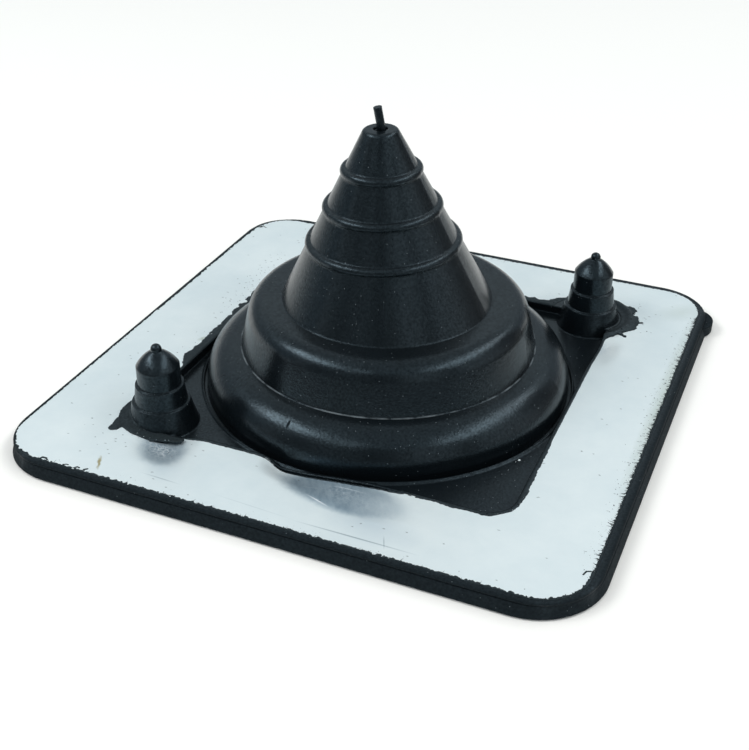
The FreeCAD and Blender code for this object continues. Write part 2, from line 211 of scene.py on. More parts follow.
# %% The grey cloth
CARD_FROM, CARD_STEP, CARD_PANELS = -55, 8, 25
CARD_RADIUS, CARD_HEIGHT = 0.7, 0.62
CARD_FOOT_RADIUS, CARD_FOOT_LIFT = 0.085, 0.0005
card_mesh = bpy.data.meshes.new("grey_card")
card_turns = [CARD_FROM + CARD_STEP * i for i in range(CARD_PANELS + 1)]
card_section = [(CARD_FOOT_RADIUS, CARD_FOOT_LIFT), (CARD_RADIUS, CARD_FOOT_LIFT),
                (CARD_RADIUS, CARD_HEIGHT)]
card_places = [around(t, 0, out) + Vector((0, 0, z)) for t in card_turns for out, z in card_section]
card_faces = [(k, k + 1, k + 4, k + 3) for i in range(CARD_PANELS) for k in (3 * i, 3 * i + 1)]
card_mesh.from_pydata(card_places, [], card_faces)
card = bpy.data.objects.new("grey_card", card_mesh)
bpy.context.scene.collection.objects.link(card)
card.visible_camera = False
card.visible_diffuse = False
card.visible_shadow = False
print("grey cloth:", len(card_faces), "panels")

# %% Shades of the cloth
DARKEST_TURN = -8
card_cloth, tree, output, place = new_material("grey_card_cloth")
sideways = around(DARKEST_TURN + 90, 0, 1 / CARD_RADIUS)
offside = add_node(tree, "ShaderNodeVectorMath", {0: place, 1: sideways}, operation="DOT_PRODUCT")
offside = add_node(tree, "ShaderNodeMath", {0: offside.outputs["Value"]}, operation="ABSOLUTE")
shade = add_node(tree, "ShaderNodeMapRange", {
    "Value": offside.outputs[0], "From Min": 0.45, "From Max": 0.95, "To Min": 0.2, "To Max": 0.5},
    interpolation_type="SMOOTHSTEP")
level = add_node(tree, "ShaderNodeVectorMath", {0: place, 1: (1, 1, 0)}, operation="MULTIPLY")
folds = add_node(tree, "ShaderNodeTexNoise", {"Vector": level.outputs[0], "Scale": 5.0, "Detail": 1.0})
folds = add_node(tree, "ShaderNodeMapRange", {
    "Value": folds.outputs["Fac"], "From Min": 0.35, "From Max": 0.65, "To Min": 0.35, "To Max": 1.8})
shade = add_node(tree, "ShaderNodeMath", {0: shade.outputs[0], 1: folds.outputs[0]},
                 operation="MULTIPLY")
cloth = add_node(tree, "ShaderNodeEmission", {"Strength": shade.outputs[0]})
tree.links.new(cloth.outputs[0], output.inputs["Surface"])
card_mesh.materials.append(card_cloth)
print("cloth material:", card_cloth.name)

# %% [markdown]
# ## Marks in known places
#
# Cuts, scratches, smears and rubbed spots sit where the photo shows them. An image texture would need
# painting, so each mark is an ellipse instead: a round spot, stretched, turned and moved to its place.
# Marks of one kind add up to one mask.

# %% Elliptical marks
MARK_HALF_HEIGHT = 6.0


def marks(tree, place, spots, level=3.0):
    """One mask from ellipses at a level: (x, y, half length, half width, heading, strength), in mm."""
    total = 0.0
    for x, y, length, width, heading, strength in spots:
        moved = add_node(tree, "ShaderNodeMapping", {
            "Vector": place, "Location": (x * MM, y * MM, level * MM),
            "Rotation": (0, 0, math.radians(heading)),
            "Scale": (length * MM, width * MM, MARK_HALF_HEIGHT * MM)}, vector_type="TEXTURE")
        spot = add_node(tree, "ShaderNodeTexGradient", {"Vector": moved.outputs[0]},
                        gradient_type="SPHERICAL")
        total = add_node(tree, "ShaderNodeMath", {0: spot.outputs["Fac"], 1: strength, 2: total},
                         operation="MULTIPLY_ADD").outputs[0]
    return total


print("marks reach", MARK_HALF_HEIGHT, "mm above and below their level")

# %% [markdown]
# ## Moulded EPDM rubber
#
# The boot is EPDM, a roofing rubber filled with carbon black and pressed hot in a steel mould. It is a
# very dark cool grey with a satin skin whose thin wax bloom gives the shine a blue cast. There are
# faint cloudy patches where mould release was wiped on, and pale dust that sticks to it. A single dark
# colour would look like plastic, so clouds change the colour, streaks change the gloss, small cells
# make the dust, a fine mottle and bump break up the highlights, and a bevel node rounds edges that a
# mould never leaves sharp. Torn flash is the same rubber, greyer and duller because tearing leaves it
# rough.

# %% Dust and a painted crease highlight on the rubber
DUST_CELL = 0.7
CREASE_RADIUS, CREASE_HEIGHT = 29.4, 9.9


def dust_specks(tree, place, clouds, dust_share):
    """Specks that gather in patches, so the share of cells that hold one follows the clouds.

    Dust is finer than a render pixel, so its specks are drawn a fifth of a millimetre wide.
    """
    cells = add_node(tree, "ShaderNodeTexVoronoi", {"Vector": place, "Scale": per_mm(DUST_CELL)})
    pick = add_node(tree, "ShaderNodeSeparateColor", {0: cells.outputs["Color"]})
    share = add_node(tree, "ShaderNodeMapRange", {
        "Value": clouds, "From Min": 0.35, "From Max": 0.75, "To Min": 1.0, "To Max": 1 - dust_share})
    there = add_node(tree, "ShaderNodeMath", {0: pick.outputs["Red"], 1: share.outputs[0]},
                     operation="GREATER_THAN")
    speck = add_node(tree, "ShaderNodeMapRange", {
        "Value": cells.outputs["Distance"], "From Min": 0.14, "From Max": 0.04, "To Max": 0.65})
    return add_node(tree, "ShaderNodeMath", {0: speck.outputs[0], 1: there.outputs[0]},
                    operation="MULTIPLY").outputs[0]


# Painted highlight: the pale line stands for the light that the crease's small rounding catches.
def painted_crease_highlight(tree, place, level):
    """A broken pale line in the crease where the collar stands on the roll, a ring about the axis."""
    radius = add_node(tree, "ShaderNodeVectorMath", {0: level}, operation="LENGTH")
    height = add_node(tree, "ShaderNodeSeparateXYZ", {0: place})
    section = add_node(tree, "ShaderNodeCombineXYZ", {
        "X": radius.outputs["Value"], "Z": height.outputs["Z"]})
    distance = add_node(tree, "ShaderNodeVectorMath", {
        0: section.outputs[0], 1: (CREASE_RADIUS * MM, 0, CREASE_HEIGHT * MM)}, operation="DISTANCE")
    line = add_node(tree, "ShaderNodeMapRange", {
        "Value": distance.outputs["Value"], "From Min": 0.24 * MM, "From Max": 0.08 * MM})
    broken = add_node(tree, "ShaderNodeTexNoise", {"Vector": place, "Scale": per_mm(3), "Detail": 4.0})
    broken = add_node(tree, "ShaderNodeMapRange", {
        "Value": broken.outputs["Fac"], "From Min": 0.4, "From Max": 0.65, "To Max": 0.5})
    return add_node(tree, "ShaderNodeMath", {0: line.outputs[0], 1: broken.outputs[0]},
                    operation="MULTIPLY").outputs[0]


print("dust cells:", DUST_CELL, "mm wide")

# %% Gloss of the rubber
SIDE_FROM, SIDE_TO = 54.8, 56.0
CORNER_SHARE = 0.53
ROLL_CUT = (-5.75, -33.65, 0.8, 0.32, 78, 2.0)
ROLL_CUT_LEVEL = 9.8


def wiped_gloss(tree, place, level, low, high):
    """A roughness in streaks that run up the cone, because the mould was wiped up and down."""
    heading = add_node(tree, "ShaderNodeVectorMath", {0: level}, operation="NORMALIZE")
    climb = add_node(tree, "ShaderNodeVectorMath", {0: place, 1: (0, 0, per_mm(40))},
                     operation="MULTIPLY")
    wiped = add_node(tree, "ShaderNodeVectorMath", {
        0: heading.outputs[0], 1: (4, 4, 0), 2: climb.outputs[0]}, operation="MULTIPLY_ADD")
    streaks = add_node(tree, "ShaderNodeTexNoise", {
        "Vector": wiped.outputs[0], "Scale": 1.0, "Detail": 2.0})
    return add_node(tree, "ShaderNodeMapRange", {
        "Value": streaks.outputs["Fac"], "From Min": 0.3, "From Max": 0.7, "To Min": low,
        "To Max": high}).outputs[0]


def scuffed_sides(tree, place):
    """Where hands and tables scuff the pad: its sides, which lie beyond a square with cut corners."""
    reach = add_node(tree, "ShaderNodeVectorMath", {0: place}, operation="ABSOLUTE").outputs[0]
    sideways = add_node(tree, "ShaderNodeSeparateXYZ", {0: reach})
    across = add_node(tree, "ShaderNodeVectorMath", {0: reach, 1: (CORNER_SHARE, CORNER_SHARE, 0)},
                      operation="DOT_PRODUCT")
    side = add_node(tree, "ShaderNodeMath", {0: sideways.outputs["X"], 1: sideways.outputs["Y"]},
                    operation="MAXIMUM")
    side = add_node(tree, "ShaderNodeMath", {0: side.outputs[0], 1: across.outputs["Value"]},
                    operation="MAXIMUM")
    return add_node(tree, "ShaderNodeMapRange", {
        "Value": side.outputs[0], "From Min": SIDE_FROM * MM, "From Max": SIDE_TO * MM}).outputs[0]


print("pad sides are scuffed beyond", SIDE_FROM, "mm from the middle")


# %% The rubber
def moulded_epdm(name, dark, cloudy, gloss_low, gloss_high, dust_share, grain, grain_depth):
    """Black rubber: two close greys in clouds, a streaky satin skin, dust and a grain in mm."""
    material, tree, output, place = new_material(name)
    level = add_node(tree, "ShaderNodeVectorMath", {0: place, 1: (1, 1, 0)},
                     operation="MULTIPLY").outputs[0]
    clouds = add_node(tree, "ShaderNodeTexNoise", {
        "Vector": place, "Scale": per_mm(14), "Detail": 5.0, "Roughness": 0.6}).outputs["Fac"]
    skin = add_node(tree, "ShaderNodeMix", {"Factor": clouds, 6: colour(dark), 7: colour(cloudy)},
                    data_type="RGBA")
    # Dust specks and the painted crease highlight both lighten the skin to the pale dust colour.
    dust_and_highlight = add_node(tree, "ShaderNodeMath", {
        0: dust_specks(tree, place, clouds, dust_share), 1: painted_crease_highlight(tree, place, level)},
        operation="MAXIMUM")
    skin_with_dust_and_highlight = add_node(tree, "ShaderNodeMix", {
        "Factor": dust_and_highlight.outputs[0], 6: skin.outputs[2], 7: colour("#929b9f")}, data_type="RGBA")
    # The sides are scuffed dull, and a short cut in the front of the roll takes the shine off a line.
    scuffed = scuffed_sides(tree, place)
    cut = marks(tree, place, [ROLL_CUT], level=ROLL_CUT_LEVEL)
    gloss = wiped_gloss(tree, place, level, gloss_low, gloss_high)
    for mask, roughness in ((scuffed, 0.8), (cut, 1.0)):
        gloss = add_node(tree, "ShaderNodeMix", {"Factor": mask, 2: gloss, 3: roughness}).outputs[0]
    # Scuffed rubber also shines less, and the wax bloom is mottled, which makes the shine grainy.
    bloom = add_node(tree, "ShaderNodeTexNoise", {
        "Vector": place, "Scale": per_mm(0.45), "Detail": 2.0})
    bloom = add_node(tree, "ShaderNodeMapRange", {
        "Value": bloom.outputs["Fac"], "From Min": 0.3, "From Max": 0.7, "To Min": 0.6, "To Max": 1.4})
    shine = add_node(tree, "ShaderNodeMix", {"Factor": scuffed, 2: 0.5, 3: 0.35})
    shine = add_node(tree, "ShaderNodeMath", {0: shine.outputs[0], 1: bloom.outputs[0]},
                     operation="MULTIPLY")
    pores = add_node(tree, "ShaderNodeTexNoise", {
        "Vector": place, "Scale": per_mm(grain), "Detail": 1.0})
    soft_edge = add_node(tree, "ShaderNodeBevel", {"Radius": 0.5 * MM}, samples=6)
    relief = add_node(tree, "ShaderNodeBump", {
        "Strength": 0.5, "Distance": grain_depth * MM, "Height": pores.outputs["Fac"],
        "Normal": soft_edge.outputs[0]})
    shader = add_node(tree, "ShaderNodeBsdfPrincipled", {
        "Base Color": skin_with_dust_and_highlight.outputs[2], "Roughness": gloss, "IOR": 1.44,
        "Specular IOR Level": shine.outputs[0], "Specular Tint": colour("#cbeafb"),
        "Normal": relief.outputs[0]})
    tree.links.new(shader.outputs[0], output.inputs["Surface"])
    return material


boot_rubber = moulded_epdm("moulded_epdm_rubber", dark="#080b0d", cloudy="#10161a", gloss_low=0.20,
                           gloss_high=0.30, dust_share=0.5, grain=0.4, grain_depth=0.05)
torn_rubber = moulded_epdm("torn_epdm_flash", dark="#14181a", cloudy="#22282a", gloss_low=0.45,
                           gloss_high=0.65, dust_share=0.3, grain=0.5, grain_depth=0.08)
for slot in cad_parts["rubber_boot"].material_slots:
    slot.material = boot_rubber
print("rubber materials:", boot_rubber.name, torn_rubber.name)

# %% [markdown]
# ## Mill-finish aluminium
#
# The flange is soft aluminium straight from the rolling mill, so it has no lacquer or polish: a pale,
# cool, silky metal with a blurred reflection. A chalky oxide skin scatters most of its light, so it is
# only part metallic, and where pressing rubbed that skin off the dents are more metallic and smoother.
# Their colour is also painted darker and bluer, a painted reflection of the dark rubber beside them, and
# pale lines on their crinkles are painted glints. Handling left it with grey scuffs, a few scratches,
# crumbs of rubber and dirt.

# %% Marks on the sheet
DIRTY_ZONES = [(54, 14, 46, 2.6, 90, 0.6), (-41.5, 20, 22, 5, 90, 0.7), (43, 40, 8, 8, 0, 0.3),
               (-38, -43, 9, 8, 0, 0.25)]
GRIME = [(54.2, 10, 44, 2.0, 90, 0.6), (51, 46, 7, 4, 45, 0.3), (-39.9, -5.8, 1.6, 0.8, 60, 0.9)]
TAN_SMEAR = [(-35.0, -51.6, 2.3, 0.42, 118, 1.6)]
DARK_LINES = [(-22.3, -51.3, 4.4, 0.2, -2, 0.6), (15.8, -52.5, 12.0, 0.22, 0, 1.0),
              (20.7, -51.7, 2.0, 0.12, -67, 0.9), (-4.0, -51.9, 9.0, 0.12, -3, 0.3)]
SCRATCHES = [(5.7, -45.9, 3.2, 0.2, -20, 1.0), (9.5, -40.6, 4.0, 0.2, -4, 0.4),
             (3.0, -42.4, 2.4, 0.15, 12, 0.3)]
# Spots in the dents where pale lines paint the glints of crinkled metal.
CRINKLE_GLINT_SPOTS = [(-27.4, -43.0, 5.2, 3.6, -26, 0.95), (39.6, 24.7, 4.0, 2.2, 90, 0.6),
            (9.0, -42.0, 9.0, 3.5, -12, 0.3)]
FRONT_PRESSED = [(9.5, -42.4, 16.0, 6.2, -8, 1.0)]
OTHERS_PRESSED = [(-27.2, -42.6, 8.6, 5.6, -56, 1.0), (38.4, 24.5, 5.6, 2.6, 90, 0.3)]
# Soft spots of painted shade beyond the front dent and beyond the dent by the left nipple.
SHADE_ROUND_DENTS = [(17.0, -48.0, 10.0, 5.5, -10, 0.4), (-23.5, -48.0, 5.0, 4.0, -56, 0.3)]
print("scratches and dark lines:", len(SCRATCHES) + len(DARK_LINES))


# %% Dirt of the sheet
def ragged(tree, place):
    """The place, shaken a little, which gives marks a ragged edge."""
    shiver = add_node(tree, "ShaderNodeTexNoise", {"Vector": place, "Scale": per_mm(1.2), "Detail": 3.0})
    shiver = add_node(tree, "ShaderNodeVectorMath", {0: shiver.outputs["Color"], 1: (0.5, 0.5, 0.5)},
                      operation="SUBTRACT")
    return add_node(tree, "ShaderNodeVectorMath", {
        0: shiver.outputs[0], 1: (0.9 * MM,) * 3, 2: place}, operation="MULTIPLY_ADD").outputs[0]


def dirt_specks(tree, place, ragged_place):
    """Specks of rubber dust: short dashes, where most cells of the pattern stay empty."""
    brushed = add_node(tree, "ShaderNodeMapping", {
        "Vector": ragged_place, "Rotation": (0, 0, math.radians(-23)),
        "Scale": (per_mm(2.0), per_mm(1.0), 1)})
    cells = add_node(tree, "ShaderNodeTexVoronoi", {"Vector": brushed.outputs[0], "Scale": 1.0},
                     voronoi_dimensions="2D")
    pick = add_node(tree, "ShaderNodeSeparateColor", {0: cells.outputs["Color"]})
    chance = add_node(tree, "ShaderNodeMath", {0: 0.965, 1: marks(tree, place, DIRTY_ZONES)},
                      operation="SUBTRACT")
    there = add_node(tree, "ShaderNodeMath", {0: pick.outputs["Red"], 1: chance.outputs[0]},
                     operation="GREATER_THAN")
    speck = add_node(tree, "ShaderNodeMapRange", {
        "Value": cells.outputs["Distance"], "From Min": 0.16, "From Max": 0.04, "To Max": 0.6})
    return add_node(tree, "ShaderNodeMath", {0: speck.outputs[0], 1: there.outputs[0]},
                    operation="MULTIPLY").outputs[0]


print("dirty zones:", len(DIRTY_ZONES))


# %% Burnish of the dents
def rubbed_streaks(tree, ragged_place):
    """A streaked burnish, as of a pressing tool that slid across the dents."""
    slid = add_node(tree, "ShaderNodeMapping", {
        "Vector": ragged_place, "Rotation": (0, 0, math.radians(-56)),
        "Scale": (2.4 * MM, 0.9 * MM, 1)}, vector_type="TEXTURE")
    streaks = add_node(tree, "ShaderNodeTexNoise", {
        "Vector": slid.outputs[0], "Scale": 1.0, "Detail": 5.0, "Roughness": 0.65})
    return add_node(tree, "ShaderNodeMapRange", {
        "Value": streaks.outputs["Fac"], "From Min": 0.3, "From Max": 0.65, "To Min": 0.72,
        "To Max": 1.0}).outputs[0]


def pressed_metal(tree, place, ragged_place, rubbed):
    """How far each dent is burnished. The burnish fades along the front dent."""
    front = add_node(tree, "ShaderNodeMapRange", {
        "Value": marks(tree, ragged_place, FRONT_PRESSED), "From Min": 0.03, "From Max": 0.42},
        interpolation_type="SMOOTHSTEP")
    along = add_node(tree, "ShaderNodeSeparateXYZ", {0: place})
    fading = add_node(tree, "ShaderNodeMapRange", {
        "Value": along.outputs["X"], "From Min": 11 * MM, "From Max": 24 * MM, "To Min": 1.0,
        "To Max": 0.1})
    front = add_node(tree, "ShaderNodeMath", {0: front.outputs[0], 1: fading.outputs[0]},
                     operation="MULTIPLY")
    others = add_node(tree, "ShaderNodeMapRange", {
        "Value": marks(tree, ragged_place, OTHERS_PRESSED), "From Min": 0.02, "From Max": 0.6,
        "To Max": 0.8}, interpolation_type="SMOOTHSTEP")
    dents = add_node(tree, "ShaderNodeMath", {0: front.outputs[0], 1: others.outputs[0]},
                     operation="MAXIMUM")
    return add_node(tree, "ShaderNodeMath", {0: dents.outputs[0], 1: rubbed},
                    operation="MULTIPLY").outputs[0]


def crinkle_glints_and_scratches(tree, place, ragged_place, rubbed):
    """Painted glints on pressed crinkles: edges of small cells, drawn in the dents only, and a few
    scratches.
    """
    cells = add_node(tree, "ShaderNodeTexVoronoi", {"Vector": ragged_place, "Scale": per_mm(0.8)},
                     feature="DISTANCE_TO_EDGE")
    edges = add_node(tree, "ShaderNodeMapRange", {
        "Value": cells.outputs["Distance"], "From Min": 0.11, "From Max": 0.0})
    edges = add_node(tree, "ShaderNodeMath", {0: edges.outputs[0], 1: marks(tree, place, CRINKLE_GLINT_SPOTS)},
                     operation="MULTIPLY")
    return add_node(tree, "ShaderNodeMath", {
        0: edges.outputs[0], 1: rubbed, 2: marks(tree, place, SCRATCHES)},
        operation="MULTIPLY_ADD").outputs[0]


print("burnished dents:", len(FRONT_PRESSED) + len(OTHERS_PRESSED))


# %% The aluminium
def rolled_aluminium(name):
    """Soft aluminium sheet with rolling streaks, an oxide skin, burnished dents, scratches and dirt."""
    material, tree, output, place = new_material(name)
    ragged_place = ragged(tree, place)
    rubbed = rubbed_streaks(tree, ragged_place)
    pressed = pressed_metal(tree, place, ragged_place, rubbed)
    glints_and_scratches = crinkle_glints_and_scratches(tree, place, ragged_place, rubbed)
    speck = dirt_specks(tree, place, ragged_place)
    # Painted reflection and shade: the dents and the spots round them are painted darker and bluer.
    painted_dent_shade = add_node(tree, "ShaderNodeMath", {0: pressed, 1: marks(tree, place, SHADE_ROUND_DENTS)},
                      operation="MAXIMUM").outputs[0]
    clouds = add_node(tree, "ShaderNodeTexNoise", {
        "Vector": place, "Scale": per_mm(18), "Detail": 7.0, "Roughness": 0.65})
    clear = add_node(tree, "ShaderNodeMapRange", {
        "Value": clouds.outputs["Fac"], "From Min": 0.3, "From Max": 0.7})
    paint = add_node(tree, "ShaderNodeMix", {
        "Factor": clear.outputs[0], 6: colour("#dde9ec"), 7: colour("#ebf4f5")},
        data_type="RGBA").outputs[2]
    # Tints: painted shade in the dents, grime, a tan smear, dark scratches, painted crinkle glints with
    # pale scratches, and dirt specks.
    for mask, tint in ((painted_dent_shade, "#a8c0d0"), (marks(tree, ragged_place, GRIME), "#b9c4b8"),
                       (marks(tree, ragged_place, TAN_SMEAR), "#a59c74"),
                       (marks(tree, place, DARK_LINES), "#8fa0a8"), (glints_and_scratches, "#f3f7f9"),
                       (speck, "#343b3e")):
        paint = add_node(tree, "ShaderNodeMix", {"Factor": mask, 6: paint, 7: colour(tint)},
                         data_type="RGBA").outputs[2]
    # Rolling leaves streaks along X. In the dents the metal is smoother, and more of it is bare.
    rolled = add_node(tree, "ShaderNodeMapping", {
        "Vector": place, "Scale": (per_mm(45), per_mm(1.1), 1)})
    streaks = add_node(tree, "ShaderNodeTexNoise", {
        "Vector": rolled.outputs[0], "Scale": 1.0, "Detail": 3.0})
    silk = add_node(tree, "ShaderNodeMapRange", {
        "Value": streaks.outputs["Fac"], "From Min": 0.25, "From Max": 0.75, "To Min": 0.38,
        "To Max": 0.50})
    silk = add_node(tree, "ShaderNodeMix", {"Factor": pressed, 2: silk.outputs[0], 3: 0.29})
    oxide = add_node(tree, "ShaderNodeMapRange", {"Value": pressed, "To Min": 0.36, "To Max": 0.75})
    # The dirt specks, the painted glints and the scratches are drawn almost without metal.
    specks_and_glints = add_node(tree, "ShaderNodeMath", {0: speck, 1: glints_and_scratches}, operation="ADD", use_clamp=True)
    metal = add_node(tree, "ShaderNodeMix", {"Factor": specks_and_glints.outputs[0], 2: oxide.outputs[0], 3: 0.1})
    waves = add_node(tree, "ShaderNodeTexNoise", {
        "Vector": ragged_place, "Scale": per_mm(3), "Detail": 4.0})
    relief = add_node(tree, "ShaderNodeBump", {
        "Strength": 0.3, "Distance": 0.02 * MM, "Height": waves.outputs["Fac"]})
    shader = add_node(tree, "ShaderNodeBsdfPrincipled", {
        "Base Color": paint, "Metallic": metal.outputs[0], "Roughness": silk.outputs[0],
        "Normal": relief.outputs[0]})
    tree.links.new(shader.outputs[0], output.inputs["Surface"])
    return material


sheet_metal = rolled_aluminium("mill_finish_aluminium")
print("metal material:", sheet_metal.name)

# %% [markdown]
# ## Thin skins cut from a field
#
# The sheet and the torn rubber along it are both thin skins with an outline. Drawing outlines by hand
# would be slow, and a ragged edge would look combed. Here an outline is a field: how far a point lies
# inside the skin, in millimetres. The line where the field is zero is the edge. A grid of squares cut
# along that line gives the skin, and adding noise to the field tears its edge.


# %% Distances on the sheet, in millimetres
def to_square(x, y, half, corner, centre=(0.0, 0.0)):
    """Distance to a rounded square, negative inside."""
    qx = np.abs(x - centre[0]) - (half - corner)
    qy = np.abs(y - centre[1]) - (half - corner)
    outside = np.hypot(np.maximum(qx, 0), np.maximum(qy, 0))
    return outside + np.minimum(np.maximum(qx, qy), 0) - corner


def to_line(x, y, start, end):
    """Distance to a straight run between two points."""
    ax, ay = end[0] - start[0], end[1] - start[1]
    along = ((x - start[0]) * ax + (y - start[1]) * ay) / max(ax * ax + ay * ay, 1e-9)
    along = np.clip(along, 0, 1)
    return np.hypot(x - start[0] - along * ax, y - start[1] - along * ay)


TEAR_FALLOFF, TEAR_FINER, TEAR_OCTAVES = 0.9, 2.0, 3


def tearing(x, y, size, layer):
    """Rough noise between about -1 and 1, with lumps of this size. Each use has a layer of its own."""
    rough = [noise.fractal(Vector((a / size, b / size, layer)), TEAR_FALLOFF, TEAR_FINER, TEAR_OCTAVES)
             for a, b in zip(x.ravel(), y.ravel())]
    return np.array(rough).reshape(x.shape)


def ease(share):
    """A smooth rise from 0 to 1."""
    share = np.clip(share, 0, 1)
    return share * share * (3 - 2 * share)


print("from the middle of a square 2 mm wide to its edge:", to_square(0.0, 0.0, 1.0, 0.2))

# %% Cut a skin along its field
SHARP_ANGLE = 40


def cut_grid(field, box, cell):
    """Points (x, y, field) and faces of a grid, cut along the line where the field is zero."""
    gx, gy = np.meshgrid(np.arange(box[0], box[2] + cell, cell),
                         np.arange(box[1], box[3] + cell, cell), indexing="ij")
    depth = field(gx, gy)
    points, faces, found = [], [], {}

    def corner_at(key, x, y, inside):
        if key not in found:
            found[key] = len(points)
            points.append((x, y, inside))
        return found[key]

    highest = np.maximum.reduce([depth[:-1, :-1], depth[1:, :-1], depth[1:, 1:], depth[:-1, 1:]])
    rows, columns = np.nonzero(highest > 0)
    for i, j in zip(rows.tolist(), columns.tolist()):
        ring = [(i, j), (i + 1, j), (i + 1, j + 1), (i, j + 1)]
        face = []
        for a, b in zip(ring, ring[1:] + ring[:1]):
            da, db = depth[a], depth[b]
            if da > 0:
                face.append(corner_at(a, gx[a], gy[a], da))
            if (da > 0) != (db > 0):
                t = da / (da - db)
                face.append(corner_at((min(a, b), max(a, b)), gx[a] + t * (gx[b] - gx[a]),
                                      gy[a] + t * (gy[b] - gy[a]), 0.0))
        if len(set(face)) > 2:
            faces.append(face)
    return points, faces


def cut_skin(name, field, box, cell, height, thickness):
    """A thin closed skin where the field is above zero, with its top at height(x, y, inside)."""
    points, faces = cut_grid(field, box, cell)
    px, py, inside = np.array(points).T
    top = height(px, py, inside)
    mesh = bpy.data.meshes.new(name)
    mesh.from_pydata(np.column_stack([px, py, top]) * MM, [], faces)
    skin = bmesh.new()
    skin.from_mesh(mesh)
    copied = bmesh.ops.extrude_face_region(skin, geom=list(skin.faces), use_keep_orig=True)
    for part in copied["geom"]:
        if isinstance(part, bmesh.types.BMVert):
            part.co.z -= thickness * MM
    bmesh.ops.recalc_face_normals(skin, faces=skin.faces)
    skin.to_mesh(mesh)
    skin.free()
    mesh.shade_smooth()
    mesh.set_sharp_from_angle(angle=math.radians(SHARP_ANGLE))
    return mesh


def add_piece(name, mesh, finish):
    """Places a mesh in the scene in its finish, riding with the seal."""
    piece = bpy.data.objects.new(name, mesh)
    bpy.context.scene.collection.objects.link(piece)
    mesh.materials.append(finish)
    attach(piece, "root")
    print(name, len(mesh.polygons), "faces")
    return piece


print("skins keep edges over", SHARP_ANGLE, "degrees sharp")

# %% [markdown]
# ## The dented sheet
#
# The sheet's edge was pressed down towards the floor in three places, and soft metal crinkles when it
# is pressed. The CAD sheet has the dents, and a fine grid adds the crinkles and the slight waviness
# that the metal shows in its reflections, so this sheet stands for the CAD one. Each dent runs along a
# side of the window: it sinks quickly, rises again slowly, and fades outwards. Pressing also curled
# the window's edge outwards at the front dent. Round the left nipple the sheet reaches in a little
# further than in the CAD, over the rubber.

# %% Sheet outline, in mm
SHEET_TOP = 3.2
SHEET_CENTRE = (-0.5, -0.2)
SHEET_HALF, SHEET_CORNER = 55, 9
WINDOW_HALF, WINDOW_CORNER = 38.2, 5.6
LEFT_NIPPLE = (-32.9, -33.3)
RIGHT_NIPPLE = (32.6, 36.4)
LEFT_LOBE, LEFT_LOBE_RADIUS = (-32.4, -33.6), 8.3
RIGHT_LOBE_RADIUS = 9.0
CURL = 1.1
CURL_START, CURL_RISE = -8, 5
CURL_END, CURL_FALL = 21, 13


def to_point(x, y, point):
    """Distance to a point."""
    return np.hypot(x - point[0], y - point[1])


def to_outer_edge(x, y):
    """Distance to the sheet's outer edge, negative inside the sheet."""
    return to_square(x, y, SHEET_HALF, SHEET_CORNER, SHEET_CENTRE)


def to_window(x, y):
    """Distance to the window and its lobes round the nipples, negative inside it."""
    swell = ease((x - CURL_START) / CURL_RISE) * ease((CURL_END - x) / CURL_FALL)
    curled = np.where(y < 0, CURL * swell, 0)
    left = to_point(x, y, LEFT_LOBE) - LEFT_LOBE_RADIUS
    right = to_point(x, y, RIGHT_NIPPLE) - RIGHT_LOBE_RADIUS
    square = to_square(x, y + curled, WINDOW_HALF, WINDOW_CORNER)
    return np.minimum(square, np.minimum(left, right))


print("window:", 2 * WINDOW_HALF, "mm wide in a sheet of", 2 * SHEET_HALF, "mm")

# %% Dents of the sheet, in mm
# The pad's floor lies this far below the sheet. A dent presses the sheet on its own side only, from a
# line a little inside the window.
FLOOR_DEPTH = 1.8
DENT_INWARD = 3
DENTS = [dict(side="front", start=-9.0, length=24.0, foot=0.0, reach=8.6, peak=0.17, press=0.95,
              slant=0.5),
         dict(side="front", start=-33.5, length=13.0, foot=3.5, reach=10.3, peak=0.5, press=0.6,
              slant=0.0),
         dict(side="right", start=14.5, length=15.0, foot=0.0, reach=4.8, peak=0.7, press=0.4,
              slant=0.0)]


def dent_depth(x, y):
    """How far the sheet is pressed down."""
    total = np.zeros(x.shape)
    for dent in DENTS:
        along, out = (x, -y) if dent["side"] == "front" else (y, x)
        share = (along - dent["start"]) / dent["length"]
        swell = np.where(share < dent["peak"], ease(share / dent["peak"]),
                         ease((1 - share) / (1 - dent["peak"])))
        slope = (dent["reach"] - dent["foot"]) * (1 - dent["slant"] * (1 - ease(2 * share)))
        fade = 1 - ease((out - WINDOW_HALF - dent["foot"]) / slope)
        pressed = dent["press"] * FLOOR_DEPTH * swell * fade
        total = np.maximum(total, np.where(out > WINDOW_HALF - DENT_INWARD, pressed, 0))
    return total


front_edge = np.linspace(-WINDOW_HALF, WINDOW_HALF, 100)
deepest = dent_depth(front_edge, np.full(front_edge.shape, -WINDOW_HALF)).max()
print("deepest dent at the front:", round(float(deepest), 2), "mm")

# %% Make the sheet
WAVE_DEPTH, WAVE_SIZE = 0.02, 21.0
CRINKLE_SIZE = 2.6
CALM_EDGE = 1.5
OVERLAP_LIFT, OVERLAP_RADIUS, OVERLAP_FADE = 0.06, 9.8, 0.6
SHEET_BOX = (-55.7, -55.4, 54.9, 55.0)
SHEET_CELL, SHEET_THICKNESS = 0.42, 0.69
# Each run of crinkles is a start, an end, how far it reaches and how deep it is.
CRINKLES = [((-30.0, -44.5), (-23.5, -43.5), 4.5, 0.075), ((-4, -41), (9, -43), 4.5, 0.05),
            ((39.5, 19), (39.5, 27), 3.5, 0.04)]


def sheet_field(x, y):
    """How far a point lies inside the sheet."""
    return np.minimum(-to_outer_edge(x, y), to_window(x, y))


